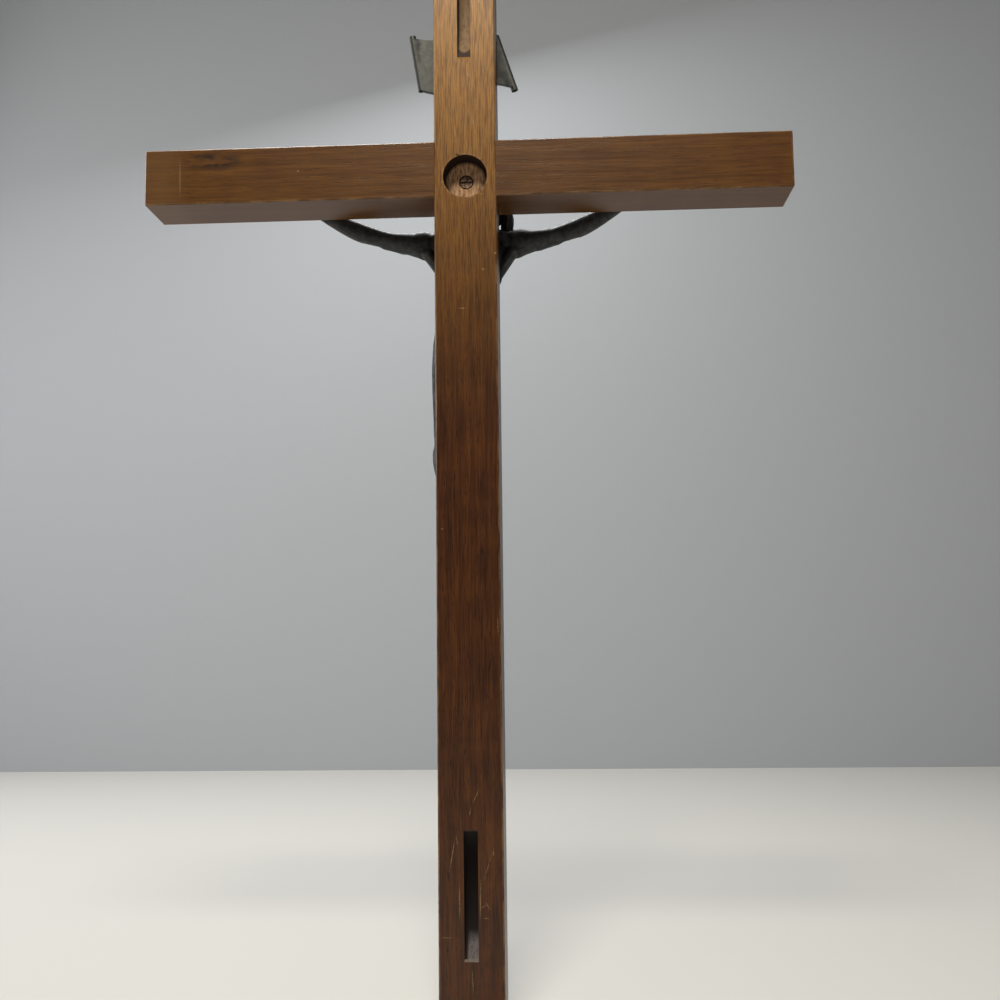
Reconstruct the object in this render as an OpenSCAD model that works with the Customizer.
// Wall crucifix: two walnut beams half-lapped together, a cast figure nailed to the front,
// a bare scroll above it, and a screw at the bottom of a round hanging recess in the back.
// The origin is the centre of the recess mouth, on the back face. +Y points to the wall,
// -Y to the room, +Z up. The figure's left is +X.

/* [Upright] */
// Width of the upright, side to side
upright_w = 22.2; // [21:0.1:28]
// Length of the upright
upright_h = 406.4; // [380:0.2:460]
// Top end of the upright above the crossing's centre line
top_run = 108.2; // [100:0.2:125]
// Thickness of both beams, front to back
stock_d = 20.6; // [18:0.1:26]
// Chamfer on every long and end edge of the beams
edge_ease = 0.4; // [0.2:0.05:0.9]

/* [Crossbeam] */
// Height of the crossbeam
beam_h = 20.6; // [18:0.1:25]
// Length of the crossbeam
beam_l = 233.6; // [190:0.2:270]

/* [Hanging recess] */
// Diameter of the round recess that hangs on a wall peg
recess_d = 15.9; // [13:0.1:17.5]
// Depth of the recess
recess_depth = 6.2; // [4.5:0.1:7]
// Recess centre below the crossing's centre line
recess_drop = 2.8; // [0:0.1:6]

/* [Saw slots] */
// Width of the two slots in the back
slot_w = 4.8; // [4.4:0.1:6.5]
// Length of a slot at the surface
slot_l = 43.2; // [36:0.2:48]
// Depth of a slot at its middle
slot_depth = 7.5; // [6.8:0.1:9.5]
// Wood left between a slot and the nearest end of the upright
slot_margin = 23.6; // [18:0.2:28]

/* [Lap screw] */
// Diameter of the screw head
screw_head_d = 5.1; // [4.4:0.1:6.2]
// Height of the screw head
screw_head_h = 1.4; // [1.1:0.1:1.8]
// Diameter of the screw shank
screw_shank_d = 2.8; // [2.2:0.1:3.6]
// Length of the screw under its head
screw_l = 9.5; // [7.5:0.1:11]
// Head top below the recess floor
screw_sink = 0.2; // [0.1:0.05:0.4]

/* [Titulus] */
// Width of the scroll along its top edge
scroll_w = 31.9; // [28:0.1:36]
// Height of the scroll
scroll_h = 20.8; // [17:0.1:24]
// Thickness of the scroll's sheet
scroll_t = 1.5; // [1.1:0.1:2.4]
// Radius of the rolled ends
roll_r = 1.3; // [1:0.05:1.7]
// Scroll centre above the crossing's centre line
scroll_rise = 50.6; // [42:0.2:60]
// Scroll centre off the upright's middle, towards the figure's left
scroll_shift = 2.8; // [-2:0.1:3.4]
// Distance between the two pins
pin_gap = 12.4; // [9:0.1:14.5]

/* [Corpus] */
// Standing height that the figure's proportions follow
figure_h = 140; // [132:0.5:148]
// Distance between the nails in the palms
hand_span = 131; // [124:0.5:140]

/* [Nails] */
// Diameter of a nail's domed head
nail_head_d = 3.4; // [2.8:0.1:3.9]
// Height of the dome
nail_head_h = 1.1; // [0.8:0.05:1.4]
// Diameter of a nail's shank
nail_d = 1.5; // [1.2:0.05:1.8]
// Length of a nail inside the wood
nail_grip = 8; // [6:0.1:9]
// Diameter of a scroll pin's head
pin_head_d = 2.4; // [2:0.1:3]
// Height of its dome
pin_head_h = 0.8; // [0.6:0.05:1]
// Diameter of a scroll pin's shank
pin_d = 1.2; // [1:0.05:1.5]
// Length of a scroll pin inside the wood
pin_grip = 6; // [4:0.1:8]

/* [Hidden] */
walnut = "#6e4a2a";
walnut_cross = "#7a5634";
pewter = "#33343a";
brass = "#a8894f";
steel = "#8d8f92";
// Radial play of each nail, pin and screw in its hole
fit_play = 0.04;
// Overrun of every cut past the face it opens in
cut_over = 1;
round_fn = 64;
small_fn = 32;

// Places on the cross, up from the recess centre
cross_z = recess_drop;
top_z = cross_z + top_run;
bottom_z = top_z - upright_h;
front_y = -stock_d;
lap_y = -stock_d / 2;
top_slot_z = top_z - slot_margin - slot_l / 2;
bottom_slot_z = bottom_z + slot_margin + slot_l / 2;

// A saw blade plunged straight in leaves a floor that is an arc of this radius
slot_blade_r = (pow(slot_l / 2, 2) + pow(slot_depth, 2)) / (2 * slot_depth);

// The screw's pocket in the recess floor, and how far the screw reaches into the crossbeam
pocket_r = screw_head_d / 2 + 3 * fit_play;
pocket_depth = screw_head_h + screw_sink;
screw_seat_y = -recess_depth - pocket_depth;
driver_slot_w_share = 0.16;
driver_slot_depth_share = 0.55;
head_rim_share = 0.3;

// A block with all its edges chamfered, its size given along X, Y and Z, standing from its
// low corner
function eased_outline(a, b, e) = [[e, 0], [a - e, 0], [a, e], [a, b - e],
                                   [a - e, b], [e, b], [0, b - e], [0, e]];

module eased_block(size, e) {
    intersection() {
        linear_extrude(size.z) polygon(eased_outline(size.x, size.y, e));
        translate([0, size.y, 0]) rotate([90, 0, 0])
            linear_extrude(size.y) polygon(eased_outline(size.x, size.z, e));
        rotate([90, 0, 90])
            linear_extrude(size.x) polygon(eased_outline(size.y, size.z, e));
    }
}

// A round hole or rod along Y: it starts at the height y and runs towards the room
module rod_to_front(d, length, y, fn = small_fn) {
    translate([0, y, 0]) rotate([90, 0, 0]) cylinder(d = d, h = length, $fn = fn);
}

module saw_slot() {
    translate([-slot_w / 2, slot_blade_r - slot_depth, 0]) rotate([0, 90, 0])
        cylinder(r = slot_blade_r, h = slot_w, $fn = round_fn);
}

// The figure's own table of places: each row is a share of its standing height
function part_way(a, b, t) = a + (b - a) * t;
function bend(p0, p1, p2, p3, t) =
    0.5 * (2 * p1 + (p2 - p0) * t + (2 * p0 - 5 * p1 + 4 * p2 - p3) * t * t
           + (3 * p1 - p0 - 3 * p2 + p3) * t * t * t);
function row_at(rows, i) = rows[max(0, min(len(rows) - 1, i))];
function smooth_rows(rows, steps) = [
    for (i = [0 : len(rows) - 2]) for (k = [0 : steps - 1])
        bend(row_at(rows, i - 1), rows[i], rows[i + 1], row_at(rows, i + 2), k / steps),
    rows[len(rows) - 1]];
function centre_of(row) = [row[0], row[1], row[2]];
function unit(v) = v / norm(v);

// One ring round a limb: width along the side direction, depth across it. The half on the
// negative side of the depth can be flatter. Relief swells or sinks the ring by a share of
// its radius, from the angle and the share of the limb's length.
function limb_ring(centre, along, side, width, depth, flat, sides, relief, s) =
    let (u = unit(side - along * (side * along)), v = cross(along, u))
    [for (j = [0 : sides - 1])
        let (a = 360 * j / sides, k = 1 + relief(a, s))
        centre + u * width * k * cos(a) + v * depth * k * sin(a) * (sin(a) < 0 ? flat : 1)];

smooth_skin = function (a, s) 0;
function bump(x) = pow(max(0, 1 - x * x), 2);
function turned_from(a, b) = abs((a - b + 540) % 360 - 180);
function clamp(t) = max(0, min(1, t));

// The sum of swells on a limb, each a row of [share of the radius, degrees round, degrees to
// either side of that, half its width in degrees, share of the length, half its length, how
// far it slides along the limb with each degree]
function swells(rows, a, s) = [for (row = rows)
    let (off = turned_from(a, row[1]))
    row[0] * bump((off - row[2]) / row[3]) * bump((s - row[4] - row[6] * off) / row[5])]
    * [for (row = rows) 1];

// A lofted limb through rows of [x, y, z, half width, half depth], all in lengths
module limb(rows, side, sides = 12, flat = 1, relief = smooth_skin, steps = 2) {
    fine = smooth_rows(rows, steps);
    n = len(fine);
    rings = [for (i = [0 : n - 1])
        let (before = centre_of(fine[max(0, i - 1)]), after = centre_of(fine[min(n - 1, i + 1)]))
        limb_ring(centre_of(fine[i]), unit(after - before), side, fine[i][3], fine[i][4],
                  flat, sides, relief, i / (n - 1))];
    skin = [for (i = [0 : n - 2]) for (j = [0 : sides - 1])
        let (a = i * sides + j, b = i * sides + (j + 1) % sides)
        each [[b, a, a + sides], [b, a + sides, b + sides]]];
    ends = [[for (j = [0 : sides - 1]) j],
            [for (j = [sides - 1 : -1 : 0]) (n - 1) * sides + j]];
    polyhedron([for (ring = rings) for (p = ring) p], concat(skin, ends), convexity = 6);
}

// A tapered strand between two points, for fingers, toes and the lines of the face
module strand(a, b, ra, rb, fn = 5) {
    hull() {
        translate(a) sphere(ra, $fn = fn);
        translate(b) sphere(rb, $fn = fn);
    }
}

module strand_chain(points, radii, fn = 5) {
    for (i = [0 : len(points) - 2])
        strand(points[i], points[i + 1], radii[i], radii[i + 1], fn);
}

// A finger, toe or lock along points, rounded at its tip
tip_share = 0.55;
module digit(points, radii, side = [0, 0, 1], sides = 5) {
    n = len(points) - 1;
    tip = points[n] + unit(points[n] - points[n - 1]) * radii[n] * tip_share;
    limb(concat([for (i = [0 : n]) concat(points[i], [radii[i], radii[i]])],
                [concat(tip, [radii[n], radii[n]] * tip_share)]), side, sides, 1, smooth_skin, 1);
}

// A rounded swelling from a row of [x, y, z, three radii], all in lengths
module swell(row, fn = 10) {
    translate(centre_of(row)) scale([row[3], row[4], row[5]]) sphere(1, $fn = fn);
}

// Rows of shares become rows of lengths: across, towards the room, up, then half sizes
function on_cross(row) = [row[0] * figure_h, front_y - row[1] * figure_h,
                          cross_z + row[2] * figure_h];
function half_sizes(row) = [for (i = [3 : len(row) - 1]) row[i] * figure_h];
function body_row(row) = concat(on_cross(row), half_sizes(row));
function body_rows(rows) = [for (row = rows) body_row(row)];

// A place on the skin of a standing limb: its height share, degrees round from the front to
// the figure's left, and how far it stands off as a share
function share_at(rows, z, i = 0) = i > len(rows) - 3 || rows[i + 1][2] <= z
    ? i + (rows[i][2] - z) / (rows[i][2] - rows[i + 1][2]) : share_at(rows, z, i + 1);
function skin_place(rows, place) =
    let (at = share_at(rows, cross_z + place[0] * figure_h), i = min(len(rows) - 2, floor(at)),
         row = part_way(rows[i], rows[i + 1], at - i), off = place[2] * figure_h,
         along = unit(centre_of(rows[i + 1]) - centre_of(rows[i])),
         u = unit([1, 0, 0] - along * along.x), v = cross(along, u))
    centre_of(row) + u * (row[3] + off) * sin(place[1]) + v * (row[4] + off) * cos(place[1]);

// A fold, roll or bone along such places: its ends are sunk in the skin
module ridge(rows, places, radii, side = [0, 0, 1], sides = 5) {
    limb([for (i = [0 : len(places) - 1])
        concat(skin_place(rows, places[i]), [radii[i], radii[i]] * figure_h)],
        side, sides, 1, smooth_skin, 1);
}

torso_shares = [
    [-0.015, 0.071, -0.086, 0.015, 0.014],
    [-0.006, 0.068, -0.100, 0.036, 0.030],
    [ 0.000, 0.064, -0.112, 0.066, 0.035],
    [ 0.001, 0.059, -0.127, 0.096, 0.043],
    [ 0.002, 0.057, -0.150, 0.104, 0.051],
    [ 0.004, 0.058, -0.175, 0.097, 0.056],
    [ 0.007, 0.060, -0.205, 0.089, 0.056],
    [ 0.010, 0.060, -0.235, 0.084, 0.055],
    [ 0.013, 0.058, -0.270, 0.077, 0.048],
    [ 0.016, 0.054, -0.305, 0.066, 0.040],
    [ 0.017, 0.053, -0.335, 0.063, 0.038],
    [ 0.018, 0.054, -0.370, 0.071, 0.042],
    [ 0.020, 0.057, -0.405, 0.078, 0.046],
    [ 0.021, 0.060, -0.440, 0.078, 0.046],
    [ 0.022, 0.062, -0.465, 0.060, 0.036]];

left_leg_shares = [
    [0.060, 0.060, -0.420, 0.046, 0.046],
    [0.064, 0.072, -0.465, 0.047, 0.047],
    [0.070, 0.090, -0.520, 0.043, 0.044],
    [0.076, 0.108, -0.573, 0.037, 0.038],
    [0.080, 0.121, -0.612, 0.034, 0.036],
    [0.081, 0.124, -0.640, 0.033, 0.034],
    [0.080, 0.112, -0.674, 0.031, 0.031],
    [0.078, 0.094, -0.715, 0.033, 0.033],
    [0.069, 0.079, -0.765, 0.029, 0.030],
    [0.053, 0.066, -0.815, 0.022, 0.023],
    [0.036, 0.054, -0.860, 0.018, 0.020],
    [0.026, 0.042, -0.892, 0.020, 0.021],
    [0.018, 0.027, -0.925, 0.025, 0.017],
    [0.013, 0.018, -0.952, 0.029, 0.014],
    [0.010, 0.014, -0.972, 0.029, 0.010]];

right_leg_shares = [
    [-0.018, 0.060, -0.420, 0.046, 0.046],
    [-0.014, 0.076, -0.465, 0.047, 0.0472],
    [-0.006, 0.097, -0.520, 0.043, 0.044],
    [ 0.003, 0.118, -0.573, 0.037, 0.038],
    [ 0.009, 0.132, -0.608, 0.034, 0.036],
    [ 0.011, 0.136, -0.634, 0.033, 0.034],
    [ 0.011, 0.127, -0.668, 0.031, 0.031],
    [ 0.010, 0.112, -0.710, 0.033, 0.033],
    [ 0.008, 0.100, -0.762, 0.029, 0.030],
    [ 0.004, 0.092, -0.812, 0.022, 0.023],
    [ 0.000, 0.086, -0.856, 0.018, 0.020],
    [-0.004, 0.077, -0.888, 0.020, 0.022],
    [-0.008, 0.063, -0.921, 0.025, 0.017],
    [-0.012, 0.053, -0.948, 0.029, 0.014],
    [-0.014, 0.048, -0.966, 0.029, 0.010]];

// Along an arm: share of the way from shoulder to palm, sag below that line as a share of
// the reach, then places and half sizes as shares of the figure
arm_shares = [
    [-0.120, -0.010, 0.058, 0.022, 0.026],
    [-0.050, -0.004, 0.058, 0.036, 0.038],
    [ 0.020, -0.004, 0.056, 0.038, 0.039],
    [ 0.100, -0.029, 0.052, 0.031, 0.032],
    [ 0.200, -0.050, 0.048, 0.024, 0.026],
    [ 0.300, -0.069, 0.045, 0.022, 0.024],
    [ 0.420, -0.083, 0.041, 0.026, 0.023],
    [ 0.520, -0.089, 0.037, 0.027, 0.024],
    [ 0.620, -0.084, 0.033, 0.025, 0.022],
    [ 0.740, -0.072, 0.028, 0.020, 0.018],
    [ 0.860, -0.058, 0.021, 0.015, 0.014],
    [ 0.940, -0.030, 0.016, 0.020, 0.014],
    [ 1.000, -0.004, 0.014, 0.025, 0.013],
    [ 1.070,  0.034, 0.014, 0.025, 0.011],
    [ 1.110,  0.056, 0.014, 0.019, 0.008]];
shoulder_shares = [0.125, -0.133];
palm = [hand_span / 2, cross_z];
shoulder = [shoulder_shares[0] * figure_h, cross_z + shoulder_shares[1] * figure_h];
reach = norm(palm - shoulder);
function arm_place(row) = let (p = part_way(shoulder, palm, row[0]))
    [p[0], front_y - row[2] * figure_h, p[1] + row[1] * reach];
function arm_row(row) = concat(arm_place(row), half_sizes(row));

// A point in the hand, from the palm's nail: along the arm, towards the room, up
hand_lift = 18;
hand_tilt = atan2(palm[1] - shoulder[1], palm[0] - shoulder[0]) + hand_lift;
function in_hand(p) = [palm[0] + figure_h * (p[0] * cos(hand_tilt) - p[2] * sin(hand_tilt)),
                       front_y - p[1] * figure_h,
                       palm[1] + figure_h * (p[0] * sin(hand_tilt) + p[2] * cos(hand_tilt))];
finger_r_shares = [0.0072, 0.0070, 0.0064, 0.0052];
finger_shares = [
    [[0.020, 0.014,  0.0180], [0.048, 0.016,  0.0190], [0.056, 0.032,  0.0175],
     [0.046, 0.040,  0.0160]],
    [[0.022, 0.014,  0.0062], [0.053, 0.016,  0.0066], [0.062, 0.034,  0.0060],
     [0.051, 0.043,  0.0052]],
    [[0.021, 0.014, -0.0060], [0.051, 0.017, -0.0062], [0.060, 0.033, -0.0056],
     [0.049, 0.041, -0.0050]],
    [[0.018, 0.014, -0.0172], [0.043, 0.016, -0.0180], [0.051, 0.029, -0.0170],
     [0.043, 0.035, -0.0158]]];
thumb_shares = [[-0.014, 0.014, 0.018], [0.004, 0.026, 0.029], [0.020, 0.037, 0.029],
                [0.029, 0.041, 0.021]];
thumb_r_shares = [0.0100, 0.0080, 0.0072, 0.0058];

module hand() {
    for (finger = finger_shares)
        digit([for (p = finger) in_hand(p)], finger_r_shares * figure_h);
    digit([for (p = thumb_shares) in_hand(p)], thumb_r_shares * figure_h, [1, 0, 0]);
}

// Biceps in front of the upper arm, the muscle below the elbow, the hollow of the elbow
arm_swell_shares = [
    [ 0.12, 90, 0, 70, 0.34, 0.09, 0],
    [ 0.08, 60, 0, 60, 0.58, 0.12, 0],
    [-0.10, 90, 0, 40, 0.46, 0.06, 0]];
arm_skin = function (a, s) swells(arm_swell_shares, a, s);
arm_back_share = 0.6;

module arm() {
    limb([for (row = arm_shares) arm_row(row)], [0, 0, 1], 10, arm_back_share, arm_skin);
    hand();
}

// Toes fan out from the ball of each foot
toe_r_shares = [0.0086, 0.0066, 0.0061, 0.0057, 0.0053];
toe_out_shares = [-0.0202, -0.0082, 0.0020, 0.0114, 0.0203];
toe_run_shares = [0.0265, 0.0280, 0.0255, 0.0215, 0.0172];
toe_stops = [-0.3, 0.85];
toe_rise_shares = [0, 0.0023];
toe_fan_share = 0.154;
left_ball_shares = [0.010, 0.016, -0.966];
right_ball_shares = [-0.014, 0.049, -0.960];
heel_shares = [[0.034, 0.030, -0.8834, 0.016, 0.020, 0.020],
               [-0.002, 0.062, -0.878, 0.016, 0.020, 0.020]];
module toes(ball, way) {
    for (k = [0 : 4])
        digit([for (i = [0, 1]) on_cross(ball
                  + [way * toe_out_shares[k] * (1 + toe_fan_share * max(0, toe_stops[i])),
                     toe_rise_shares[i], -toe_run_shares[k] * toe_stops[i]])],
              [1, 0.95] * toe_r_shares[k] * figure_h, [1, 0, 0]);
}

// Thigh muscle, kneecap, the dip under it, calf and the flat inside of the shin
leg_swell_shares = [
    [ 0.05,  90, 0, 60, 0.160, 0.14, 0],
    [ 0.10,  90, 0, 42, 0.345, 0.05, 0],
    [-0.06,  90, 0, 40, 0.430, 0.04, 0],
    [ 0.14, 270, 0, 70, 0.520, 0.12, 0],
    [-0.08,  40, 0, 30, 0.580, 0.12, 0]];
leg_skin = function (a, s) swells(leg_swell_shares, a, s);
leg_back_share = 0.9;

module legs() {
    limb(body_rows(left_leg_shares), [1, 0, 0], 12, leg_back_share, leg_skin);
    limb(body_rows(right_leg_shares), [1, 0, 0], 12, leg_back_share, leg_skin);
    toes(left_ball_shares, 1);
    toes(right_ball_shares, -1);
    for (row = heel_shares) swell(body_row(row), 8);
}

// Breast muscles, their lower edge and the groove under it, the groove of the breastbone, rib
// arch, the hollow under it, belly muscles and their groove, flanks, side of the ribs, navel
torso_swell_shares = [
    [ 0.150, 90, 32, 36, 0.350, 0.095, 0],
    [ 0.050, 90, 34, 30, 0.410, 0.045, 0],
    [-0.070, 90, 26, 40, 0.465, 0.030, 0],
    [-0.070, 90,  0, 18, 0.330, 0.140, 0],
    [ 0.080, 90,  0, 76, 0.475, 0.050, 0.0021],
    [-0.060, 90,  0, 30, 0.572, 0.050, 0],
    [ 0.050, 90, 18, 20, 0.680, 0.080, 0],
    [-0.040, 90,  0, 12, 0.650, 0.110, 0],
    [ 0.110, 90, 70, 32, 0.700, 0.080, 0],
    [ 0.040, 90, 74, 30, 0.520, 0.120, 0],
    [-0.080, 90,  0, 14, 0.750, 0.030, 0]];
torso_skin = function (a, s) swells(torso_swell_shares, a, s);

// Collarbones, and the slopes from the neck to the shoulders
collarbone_shares = [[-0.118, 8, -0.008], [-0.117, 16, 0.001], [-0.117, 40, 0.004],
                     [-0.120, 66, -0.002], [-0.124, 80, -0.0106]];
collarbone_r_shares = [0.0050, 0.0060, 0.0056, 0.0056, 0.0050];
neck_slope_shares = [[[0.008, 0.060, -0.078], [0.052, 0.054, -0.106], [0.100, 0.052, -0.126]],
                     [[-0.032, 0.060, -0.078], [-0.052, 0.054, -0.106], [-0.100, 0.052, -0.126]]];
neck_slope_r_shares = [0.014, 0.0179, 0.0214];
module shoulders() {
    torso_rows = body_rows(torso_shares);
    for (way = [-1, 1])
        ridge(torso_rows, [for (p = collarbone_shares) [p[0], way * p[1], p[2]]],
              collarbone_r_shares);
    for (slope = neck_slope_shares)
        limb([for (i = [0 : 2]) body_row(concat(slope[i], [1, 1] * neck_slope_r_shares[i]))],
             [0, 0, 1], 8);
}

// The cloth is wrapped round the hips: a twisted roll at the waist, swags that hang from a
// knot on the figure's left and rise to the right hip, and one end that falls from the knot
cloth_shares = [
    [0.018, 0.055, -0.356, 0.064, 0.038],
    [0.019, 0.056, -0.364, 0.077, 0.048],
    [0.020, 0.060, -0.385, 0.082, 0.052],
    [0.021, 0.064, -0.415, 0.086, 0.056],
    [0.022, 0.070, -0.445, 0.087, 0.060],
    [0.022, 0.077, -0.475, 0.088, 0.064],
    [0.023, 0.084, -0.505, 0.088, 0.067],
    [0.024, 0.089, -0.528, 0.086, 0.065],
    [0.025, 0.090, -0.534, 0.066, 0.050]];
roll_r_share = 0.0088;
roll_top_share = -0.363;
roll_dip_share = 0.011;
roll_wave_share = 0.004;
roll_sunk_share = 0.009;
roll_out_share = 0.001;
roll_stops = [-124 : 22 : 96];
fold_shares = [
    [[-0.388, 58, -0.006], [-0.430, 42, 0.003], [-0.475, 32, 0.003], [-0.524, 26, -0.002]],
    [[-0.392, 66, -0.006], [-0.440, 62, 0.002], [-0.490, 60, 0.002], [-0.524, 58, -0.002]]];
fold_r_shares = [0.0052, 0.0066, 0.0066, 0.0054];

// Swags as relief: count numbers them downwards, along a line that hangs between knot and hip
knot_out = 66;
swag_turn = 148;
swag_top_share = -0.388;
swag_hang_share = 0.0175;
swag_gap_shares = [0.0215, 0.014, 0.006];
swag_lift_share = 0.075;
function arc(t) = sin(180 * clamp(t));
function cloth_z(s) =
    let (at = s * (len(cloth_shares) - 1), i = min(len(cloth_shares) - 2, floor(at)))
    part_way(cloth_shares[i][2], cloth_shares[i + 1][2], at - i);
cloth_skin = function (a, s)
    let (t = (knot_out - (630 - a) % 360 + 180) / swag_turn,
         hang = pow(arc(1.06 * t), 0.8) * (1 - 0.35 * clamp(t)),
         count = (swag_top_share - cloth_z(s) - swag_hang_share * hang)
             / (swag_gap_shares * [hang, clamp(t), 1]))
    swag_lift_share * (count < -0.5 ? -1 : cos(360 * count)) * min(1, 2 * hang);
function roll_place(out) =
    [roll_top_share - roll_dip_share * (1 - cos(out + 80)) - roll_wave_share * sin(3 * out), out,
     part_way(-roll_sunk_share, roll_out_share, min(1, (110 - abs(out + 14)) / 30))];
tail_shares = [
    [0.088, 0.090, -0.388, 0.008, 0.010],
    [0.094, 0.084, -0.408, 0.014, 0.019],
    [0.098, 0.086, -0.450, 0.013, 0.022],
    [0.099, 0.090, -0.500, 0.012, 0.027],
    [0.099, 0.093, -0.548, 0.011, 0.030],
    [0.098, 0.094, -0.568, 0.008, 0.027]];
tail_skin = function (a, s) 0.16 * sin(4 * a + 60 * s);
knot_shares = [0.090, 0.096, -0.386, 0.017, 0.016, 0.013];
knot_fold_shares = [[0.078, 0.108, -0.374], [0.092, 0.112, -0.384], [0.103, 0.100, -0.400]];
knot_fold_r_shares = [0.0070, 0.0085, 0.0070];
module loincloth() {
    rows = body_rows(cloth_shares);
    limb(rows, [1, 0, 0], 24, 1, cloth_skin, 3);
    ridge(rows, [for (out = roll_stops) roll_place(out)],
          [for (out = roll_stops) roll_r_share * (0.9 + 0.2 * sin(4 * out))]);
    for (places = fold_shares) ridge(rows, places, fold_r_shares, [1, 0, 0]);
    limb(body_rows(tail_shares), [1, 0, 0], 12, 1, tail_skin, 1);
    swell(body_row(knot_shares));
    strand_chain([for (p = knot_fold_shares) on_cross(p)], knot_fold_r_shares * figure_h);
}

// The head is built upright round its neck pivot, facing the room, then bowed and rolled
neck_pivot_shares = [-0.018, 0.072, -0.083];
head_roll = -26.1;
head_bow = 26.3;
head_shares = [
    [0, -0.039, 0.004, 0.010, 0.010],
    [0, -0.036, 0.011, 0.019, 0.019],
    [0, -0.028, 0.022, 0.028, 0.027],
    [0, -0.018, 0.038, 0.0335, 0.035],
    [0, -0.009, 0.056, 0.037, 0.0405],
    [0, -0.003, 0.072, 0.0395, 0.0445],
    [0,  0.000, 0.082, 0.0405, 0.051],
    [0,  0.000, 0.094, 0.041, 0.0535],
    [0,  0.001, 0.109, 0.040, 0.050],
    [0,  0.002, 0.119, 0.034, 0.043],
    [0,  0.004, 0.127, 0.020, 0.026]];
// Hair: rings along the head from the forehead to the back, so that its locks run down each
// side from a parting, then the hair over the nape
hair_middle_shares = [0.0045, 0.0885];
hair_half_shares = [0.0461, 0.0560, 0.0566];
hair_reach_shares = [-0.0430, 0.0590];
hair_rings = 15;
hair_lock_share = 0.027;
function hair_row(k) =
    let (y = part_way(hair_reach_shares[0], hair_reach_shares[1], k / hair_rings),
         rise = sqrt(1 - pow((y - hair_middle_shares[0]) / hair_half_shares[1], 2)))
    [0, y, hair_middle_shares[1], hair_half_shares[0] * rise, hair_half_shares[2] * rise];
hair_parting_share = 0.05;
hair_skin = function (a, s)
    -hair_lock_share * cos(120 * hair_rings * s) - hair_parting_share * bump(turned_from(a, 270) / 20);
nape_shares = [
    [0, 0.016,  0.100, 0.038, 0.036],
    [0, 0.019,  0.080, 0.044, 0.037],
    [0, 0.021,  0.056, 0.042, 0.034],
    [0, 0.023,  0.034, 0.038, 0.030],
    [0, 0.024,  0.014, 0.033, 0.024],
    [0, 0.022,  0.001, 0.026, 0.018],
    [0, 0.016, -0.008, 0.014, 0.010]];
nape_skin = function (a, s) 0.04 * sin(6 * a + 200 * s);
neck_shares = [
    [-0.002, 0.062, -0.116, 0.040, 0.032],
    [-0.009, 0.069, -0.094, 0.027, 0.027],
    [-0.018, 0.074, -0.070, 0.024, 0.025],
    [-0.030, 0.084, -0.045, 0.025, 0.026]];
throat_shares = [
    [0, 0.006, -0.020, 0.024, 0.024],
    [0, 0.004,  0.020, 0.024, 0.026],
    [0, 0.004,  0.050, 0.024, 0.028]];
beard_shares = [
    [0, -0.0450, -0.010, 0.004, 0.004],
    [0, -0.0430, -0.003, 0.012, 0.009],
    [0, -0.0370,  0.008, 0.023, 0.018],
    [0, -0.0290,  0.020, 0.030, 0.026],
    [0, -0.0200,  0.033, 0.035, 0.033],
    [0, -0.0120,  0.044, 0.036, 0.036],
    [0, -0.0090,  0.050, 0.031, 0.028]];
beard_skin = function (a, s) 0.050 * sin(8 * a + 80 * s)
    - 0.10 * bump(turned_from(a, 270) / 20) * bump((s - 0.80) / 0.25);

// A place on the head, carried to the cross by the head's bow and roll
function on_head(p) = let (y = p[1] * cos(head_bow) - p[2] * sin(head_bow),
                           z = p[1] * sin(head_bow) + p[2] * cos(head_bow))
    on_cross(neck_pivot_shares + [p[0] * cos(head_roll) + z * sin(head_roll), -y,
                                  z * cos(head_roll) - p[0] * sin(head_roll)]);
module head_loft(rows, sides, relief = smooth_skin, steps = 2, side = [1, 0, 0]) {
    limb([for (row = rows) row * figure_h], side, sides, 1, relief, steps);
}

// Nose, then eyes, cheeks, nostrils, mouth's rise and chin, brows, moustache and lips, in the
// head's own frame
nose_shares = [
    [0, -0.0440, 0.0900, 0.0060, 0.0060],
    [0, -0.0440, 0.0810, 0.0054, 0.0078],
    [0, -0.0465, 0.0710, 0.0050, 0.0085],
    [0, -0.0490, 0.0610, 0.0060, 0.0100],
    [0, -0.0510, 0.0520, 0.0070, 0.0115],
    [0, -0.0490, 0.0465, 0.0060, 0.0090]];
face_swell_shares = [
    [0.0158, -0.0398, 0.0725, 0.0096, 0.0084, 0.0072],
    [0.0195, -0.0265, 0.0575, 0.0185, 0.0185, 0.0120],
    [0.0063, -0.0545, 0.0501, 0.0042, 0.0062, 0.0042],
    [0, -0.0452, 0.0346, 0.0188, 0.0102, 0.0146],
    [0, -0.0450, 0.0160, 0.0125, 0.0090, 0.0090],
    [0, -0.0535, 0.0360, 0.0100, 0.0040, 0.0024],
    [0, -0.0530, 0.0300, 0.0088, 0.0040, 0.0026]];
brow_shares = [[0.0030, -0.0482, 0.0826], [0.0140, -0.0460, 0.0856], [0.0250, -0.0385, 0.0838],
               [0.0320, -0.0280, 0.0790]];
brow_r_shares = [0.0050, 0.0054, 0.0050, 0.0040];
moustache_shares = [[0.0012, -0.0575, 0.0425], [0.0085, -0.0560, 0.0400],
                    [0.0155, -0.0510, 0.0340], [0.0196, -0.0438, 0.0244]];
moustache_r_shares = [0.0031, 0.0033, 0.0035, 0.0027];
module head_strip(places, radii, sides = 6) {
    head_loft([for (i = [0 : len(places) - 1]) concat(places[i], [radii[i], radii[i]])],
              sides, smooth_skin, 1, [0, 0, 1]);
}
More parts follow.
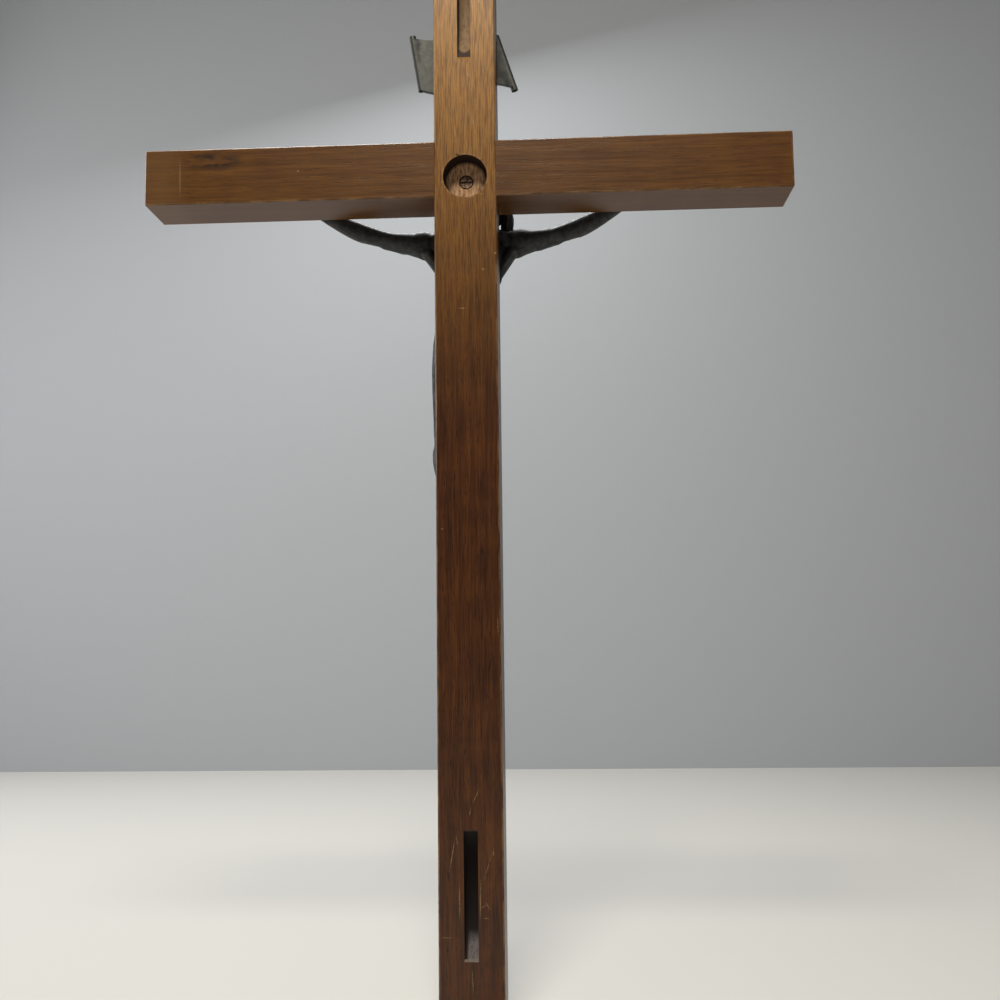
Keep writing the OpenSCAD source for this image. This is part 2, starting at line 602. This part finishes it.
module face() {
    head_loft(nose_shares, 8, smooth_skin, 1);
    for (way = [0, 1]) mirror([way, 0, 0]) {
        for (row = face_swell_shares) if (row[0] > 0 || way == 0) swell(row * figure_h, 9);
        head_strip(brow_shares, brow_r_shares, 5);
        head_strip(moustache_shares, moustache_r_shares, 5);
    }
}

// Curtains of hair fall straight down from the temples, whatever the head's tilt. Each has
// its top on the head, then rows of offsets from there, with half sizes.
curtain_top_shares = [[-0.040, 0.010, 0.070], [0.038, 0.016, 0.060]];
curtain_drop_shares = [
    [[ 0.004, 0.000,  0.036, 0.008, 0.014], [-0.004, 0.004,  0.020, 0.015, 0.024],
     [-0.011, 0.008, -0.010, 0.020, 0.029], [-0.009, 0.010, -0.045, 0.020, 0.026],
     [-0.001, 0.012, -0.075, 0.016, 0.019], [ 0.004, 0.010, -0.090, 0.007, 0.009]],
    [[-0.014, 0.000,  0.026, 0.008, 0.014], [-0.008, 0.001,  0.008, 0.014, 0.024],
     [-0.003, 0.004, -0.018, 0.017, 0.028], [ 0.003, 0.008, -0.050, 0.016, 0.025],
     [ 0.011, 0.012, -0.076, 0.013, 0.018], [ 0.017, 0.014, -0.090, 0.006, 0.008]]];
curtain_skin = function (a, s) 0.10 * sin(5 * a + 140 * s);
module curtain(top, drops) {
    start = on_head(top);
    limb([for (row = drops)
        concat(start + [row[0], -row[1], row[2]] * figure_h, half_sizes(row))],
        [1, 0, 0], 12, 1, curtain_skin);
}

module head() {
    translate(on_cross(neck_pivot_shares)) rotate([head_bow, head_roll, 0]) {
        head_loft(head_shares, 20, smooth_skin, 1);
        head_loft([for (k = [0 : hair_rings]) hair_row(k)], 14, hair_skin, 1);
        head_loft(nape_shares, 18, nape_skin, 1);
        head_loft(beard_shares, 20, beard_skin, 1);
        head_loft(throat_shares, 12, smooth_skin, 1);
        face();
    }
    limb(body_rows(neck_shares), [1, 0, 0], 14);
    for (k = [0, 1]) curtain(curtain_top_shares[k], curtain_drop_shares[k]);
}

// Seats of the nail heads: flats cut into the palms and the upper foot
palm_seat_share = 0.0235;
feet_seat_share = 0.0700;
feet_nail_shares = [0, -0.926];
palm_seat = palm_seat_share * figure_h;
feet_seat = feet_seat_share * figure_h;
feet_nail = [feet_nail_shares[0] * figure_h, cross_z + feet_nail_shares[1] * figure_h];

// The flat and the hole that a nail needs, cut at the nail's own place
seat_fn = 16;
module nail_cut(seat) {
    rod_to_front(nail_d + 2 * fit_play, seat + 2 * cut_over, front_y + cut_over, seat_fn);
    rod_to_front(nail_head_d + 4 * fit_play, stock_d, front_y - seat, seat_fn);
}

module casting() {
    limb(body_rows(torso_shares), [1, 0, 0], 28, 1, torso_skin);
    shoulders();
    for (way = [0, 1]) mirror([way, 0, 0]) arm();
    legs();
    loincloth();
    head();
}

module corpus() {
    color(pewter)
    difference() {
        casting();
        // Flat back, where the figure lies on the cross
        translate([-beam_l, front_y, bottom_z]) cube([2 * beam_l, stock_d, 2 * upright_h]);
        for (way = [-1, 1]) translate([way * palm[0], 0, palm[1]]) nail_cut(palm_seat);
        translate([feet_nail[0], 0, feet_nail[1]]) nail_cut(feet_seat);
    }
}

// A domed nail or pin, turned in one piece: its head sits at the seat's distance in front of
// the wood, and its pointed shank goes the grip's length into the wood
dome_steps = 8;
module nail(seat, d, head_d, head_h, grip) {
    dome_r = (pow(head_d / 2, 2) + pow(head_h, 2)) / (2 * head_h);
    dome_angle = asin(head_d / 2 / dome_r);
    dome = [for (k = [dome_steps - 1 : -1 : 0])
        let (a = dome_angle * k / dome_steps)
        [dome_r * sin(a), seat + head_h - dome_r * (1 - cos(a))]];
    translate([0, front_y, 0]) rotate([90, 0, 0]) rotate_extrude($fn = small_fn)
        polygon(concat([[0, -grip], [d / 2, d - grip], [d / 2, seat], [head_d / 2, seat]], dome));
}

module left_hand_nail() {
    color(steel) translate([palm[0], 0, palm[1]])
        nail(palm_seat, nail_d, nail_head_d, nail_head_h, nail_grip);
}

module right_hand_nail() {
    color(steel) translate([-palm[0], 0, palm[1]])
        nail(palm_seat, nail_d, nail_head_d, nail_head_h, nail_grip);
}

module feet_nail() {
    color(steel) translate([feet_nail[0], 0, feet_nail[1]])
        nail(feet_seat, nail_d, nail_head_d, nail_head_h, nail_grip);
}

// A hole in the wood for a nail, pin or screw, from the face it enters by
module pilot(d, grip) {
    rod_to_front(d + 2 * fit_play, grip + fit_play + cut_over, front_y + grip + fit_play);
}

// The scroll leans, is wider at its foot, and its top and foot edges wave. Across it, way 0
// is the figure's left end and way 1 the right; up it, rise -0.5 is the foot and 0.5 the top.
scroll_lean_share = 0.24;
scroll_flare_share = 0.106;
scroll_wave_share = 0.055;
rim_w_share = 0.07;
rim_h_share = 0.35;
scroll_steps = 16;
scroll_z = cross_z + scroll_rise;
function scroll_edge_x(way, rise) = scroll_shift + scroll_h * scroll_lean_share * rise
    + (0.5 - way) * scroll_w * (1 + scroll_flare_share * (0.5 - rise));
function scroll_point(way, rise) = [scroll_edge_x(way, rise),
    scroll_h * (rise - scroll_wave_share * sin(360 * way) * (1.3 - 0.6 * rise))];
function scroll_outline(inset) =
    let (in_way = inset / scroll_w, in_rise = 0.5 - inset / scroll_h)
    concat([for (k = [0 : scroll_steps])
                scroll_point(in_way + (1 - 2 * in_way) * k / scroll_steps, in_rise)],
           [for (k = [scroll_steps : -1 : 0])
                scroll_point(in_way + (1 - 2 * in_way) * k / scroll_steps, -in_rise)]);

// A flat outline in X and Z becomes a sheet that stands in front of the cross
module sheet(thick, off = 0) {
    translate([0, front_y - off, scroll_z]) rotate([90, 0, 0]) linear_extrude(thick) children();
}

// A rolled end: a rod along the scroll's edge, hollow at its ends
roll_past_share = 0.05;
roll_hollow_share = 0.5;
module roll(way, low, high) {
    foot = scroll_point(way, low);
    top = scroll_point(way, high);
    run = norm(top - foot);
    hollow_r = roll_r * roll_hollow_share;
    translate([foot[0], front_y - roll_r - fit_play, scroll_z + foot[1]])
        rotate([0, atan2(top[0] - foot[0], top[1] - foot[1]), 0]) difference() {
            cylinder(r = roll_r, h = run, $fn = small_fn);
            translate([0, 0, run - roll_r]) cylinder(r = hollow_r, h = run, $fn = small_fn);
            translate([0, 0, roll_r - run]) cylinder(r = hollow_r, h = run, $fn = small_fn);
        }
}

module titulus() {
    rim_w = scroll_h * rim_w_share;
    color(pewter) difference() {
        union() {
            sheet(scroll_t) polygon(scroll_outline(0));
            sheet(scroll_t * (1 + rim_h_share)) difference() {
                polygon(scroll_outline(0));
                polygon(scroll_outline(rim_w));
            }
            roll(0, -0.5, 0.5 + roll_past_share);
            roll(1, -0.5 - roll_past_share, 0.5);
        }
        for (way = [-1, 1]) translate([way * pin_gap / 2, 0, scroll_z])
            rod_to_front(pin_d + 2 * fit_play, scroll_t + 2 * cut_over, front_y + cut_over);
    }
}

module titulus_pins() {
    color(steel) for (way = [-1, 1]) translate([way * pin_gap / 2, 0, scroll_z])
        nail(scroll_t, pin_d, pin_head_d, pin_head_h, pin_grip);
}

// The screw that pulls the lap together lies below the recess floor, turned in one piece
// with a driver slot across its head
module lap_screw() {
    rim_h = screw_head_h * head_rim_share;
    slot_wide = screw_head_d * driver_slot_w_share;
    shank_r = screw_shank_d / 2;
    color(brass) translate([0, screw_seat_y, 0]) difference() {
        rotate([90, 0, 0]) rotate_extrude($fn = round_fn)
            polygon([[0, screw_l], [shank_r, screw_l - screw_shank_d], [shank_r, 0],
                     [screw_head_d / 2, 0], [screw_head_d / 2, rim_h - screw_head_h],
                     [screw_head_d / 2 - rim_h, -screw_head_h], [0, -screw_head_h]]);
        translate([-screw_head_d, screw_head_h * (1 - driver_slot_depth_share), -slot_wide / 2])
            cube([2 * screw_head_d, screw_head_h, slot_wide]);
    }
}

module screw_hole(from_y) {
    rod_to_front(screw_shank_d + 2 * fit_play, from_y - screw_seat_y + screw_l + fit_play, from_y);
}

module upright() {
    color(walnut) difference() {
        translate([-upright_w / 2, -stock_d, bottom_z])
            eased_block([upright_w, stock_d, upright_h], edge_ease);
        // Lap: the front half makes room for the crossbeam
        translate([-upright_w, lap_y - stock_d, cross_z - beam_h / 2])
            cube([2 * upright_w, stock_d, beam_h]);
        rod_to_front(recess_d, recess_depth + cut_over, cut_over, round_fn);
        rod_to_front(2 * pocket_r, pocket_depth + cut_over, cut_over - recess_depth, round_fn);
        screw_hole(cut_over - recess_depth);
        for (z = [top_slot_z, bottom_slot_z]) translate([0, 0, z]) saw_slot();
        translate([feet_nail[0], 0, feet_nail[1]]) pilot(nail_d, nail_grip);
        for (way = [-1, 1]) translate([way * pin_gap / 2, 0, scroll_z]) pilot(pin_d, pin_grip);
    }
}

module crossbeam() {
    color(walnut_cross) difference() {
        translate([-beam_l / 2, -stock_d, cross_z - beam_h / 2])
            eased_block([beam_l, stock_d, beam_h], edge_ease);
        // Lap: the back half makes room for the upright
        translate([-upright_w / 2, lap_y, cross_z - beam_h]) cube([upright_w, stock_d, 2 * beam_h]);
        screw_hole(lap_y + cut_over);
        for (way = [-1, 1]) translate([way * palm[0], 0, palm[1]]) pilot(nail_d, nail_grip);
    }
}

upright();
crossbeam();
corpus();
titulus();
left_hand_nail();
right_hand_nail();
feet_nail();
titulus_pins();
lap_screw();
